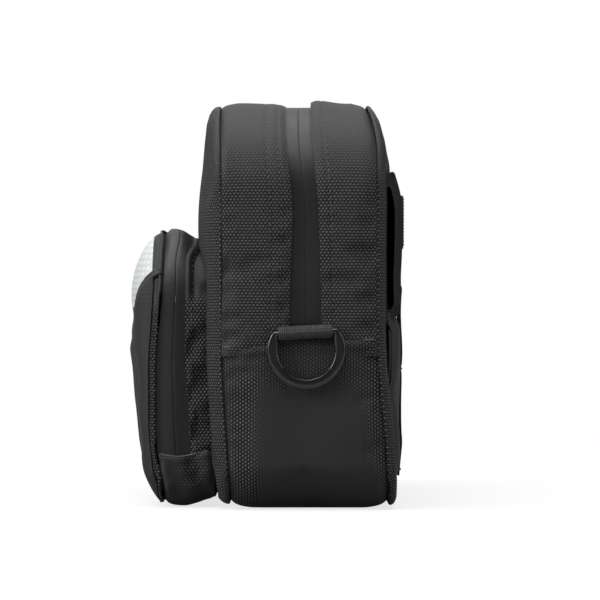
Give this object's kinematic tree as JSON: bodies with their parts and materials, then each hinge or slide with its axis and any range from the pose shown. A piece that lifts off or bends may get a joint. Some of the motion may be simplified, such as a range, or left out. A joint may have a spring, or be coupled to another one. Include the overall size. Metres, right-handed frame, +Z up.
{
  "type": "motorcycle tail bag",
  "caption": "Padded motorcycle tail bag with an arched zip, a domed zip pocket with a slip pocket, side D-rings for a strap, and a belt sleeve with webbing on the back.",
  "frame": {"origin": "centre of the bounding box at floor level, under the middle of the bag", "axes": "+X across the bag towards its right side D-ring, +Y towards the back that carries the belt sleeve, +Z up"},
  "size_m": [0.2534, 0.1336, 0.195],
  "materials": {
    "shell_fabric": "coarse woven ballistic polyester",
    "coated_tape": "satin coated water-resistant zip tape",
    "zip_coil": "nylon coil",
    "foam": "closed-cell foam",
    "stiffener_board": "polyethylene sheet",
    "lining": "plain thin lining",
    "binding": "ribbed grosgrain tape",
    "reflective_fabric": "reflective silver-grey film on cloth",
    "badge_rubber": "moulded soft rubber, ribbed and blank",
    "webbing": "ribbed woven polypropylene webbing",
    "ring_plastic": "satin-gloss moulded acetal",
    "zip_metal": "black enamelled zinc",
    "grip_plastic": "moulded soft plastic"
  },
  "bodies": {
    "bag": {"front_panel": "shell_fabric", "back_panel": "shell_fabric", "back_pad": "shell_fabric", "upper_gusset_front": "shell_fabric", "upper_gusset_rear": "shell_fabric", "lower_gusset": "shell_fabric", "main_zip_tape_front": "coated_tape", "main_zip_tape_rear": "coated_tape", "main_zip_coils": "zip_coil", "front_foam": "foam", "back_foam": "foam", "upper_foam_front": "foam", "upper_foam_rear": "foam", "lower_foam": "foam", "back_board": "stiffener_board", "base_board": "stiffener_board", "front_lining": "lining", "back_lining": "lining", "gusset_lining": "lining", "front_seam_binding": "binding", "rear_seam_binding": "binding", "pocket_front_panel": "shell_fabric", "pocket_reflective_panel": "reflective_fabric", "pocket_slip_panel": "shell_fabric", "pocket_slip_binding": "binding", "pocket_badge": "badge_rubber", "pocket_foam": "foam", "pocket_upper_gusset": "shell_fabric", "pocket_lower_gusset": "shell_fabric", "pocket_zip_tape_front": "coated_tape", "pocket_zip_tape_rear": "coated_tape", "pocket_zip_coils": "zip_coil", "back_sleeve": "shell_fabric", "sleeve_webbing": "webbing", "back_strap_right": "webbing", "back_strap_left": "webbing", "base_strap": "webbing", "ring_tab_right": "webbing", "ring_tab_left": "webbing"},
    "right_ring": {"d_ring_right": "ring_plastic"},
    "left_ring": {"d_ring_left": "ring_plastic"},
    "right_slider": {"main_slider_right": "zip_metal"},
    "right_pull": {"main_pull_right": "zip_metal", "main_grip_right": "grip_plastic"},
    "left_slider": {"main_slider_left": "zip_metal"},
    "left_pull": {"main_pull_left": "zip_metal", "main_grip_left": "grip_plastic"},
    "front_slider": {"pocket_slider": "zip_metal"},
    "front_pull": {"pocket_pull": "zip_metal", "pocket_grip": "grip_plastic"}
  },
  "joints": [
    {"name": "right_ring_swing", "type": "hinge", "parent": "bag", "child": "right_ring", "pos_m": [0.1234, 0.01835, 0.0833], "axis": [0, -0.9986, -0.0523], "range_deg": [0, 165]},
    {"name": "left_ring_swing", "type": "hinge", "parent": "bag", "child": "left_ring", "pos_m": [-0.1234, 0.01835, 0.0833], "axis": [0, 0.9986, 0.0523], "range_deg": [0, 165]},
    {"name": "right_slider_travel", "type": "slide", "parent": "bag", "child": "right_slider", "axis": [1, 0, 0], "range_m": [0, 0.107]},
    {"name": "right_pull_flip", "type": "hinge", "parent": "right_slider", "child": "right_pull", "pos_m": [-0.0385, 0.01535, 0.1933], "axis": [0, -1, 0], "range_deg": [0, 160]},
    {"name": "left_slider_travel", "type": "slide", "parent": "bag", "child": "left_slider", "axis": [-1, 0, 0], "range_m": [0, 0.017]},
    {"name": "left_pull_flip", "type": "hinge", "parent": "left_slider", "child": "left_pull", "pos_m": [-0.0515, 0.01535, 0.1933], "axis": [0, 1, 0], "range_deg": [0, 160]},
    {"name": "front_slider_travel", "type": "slide", "parent": "bag", "child": "front_slider", "axis": [0, 0, 1], "range_m": [0, 0.054]},
    {"name": "front_pull_swing", "type": "hinge", "parent": "front_slider", "child": "front_pull", "pos_m": [-0.0995, -0.04265, 0.036], "axis": [0, 1, 0], "range_deg": [0, 160]}
  ]
}
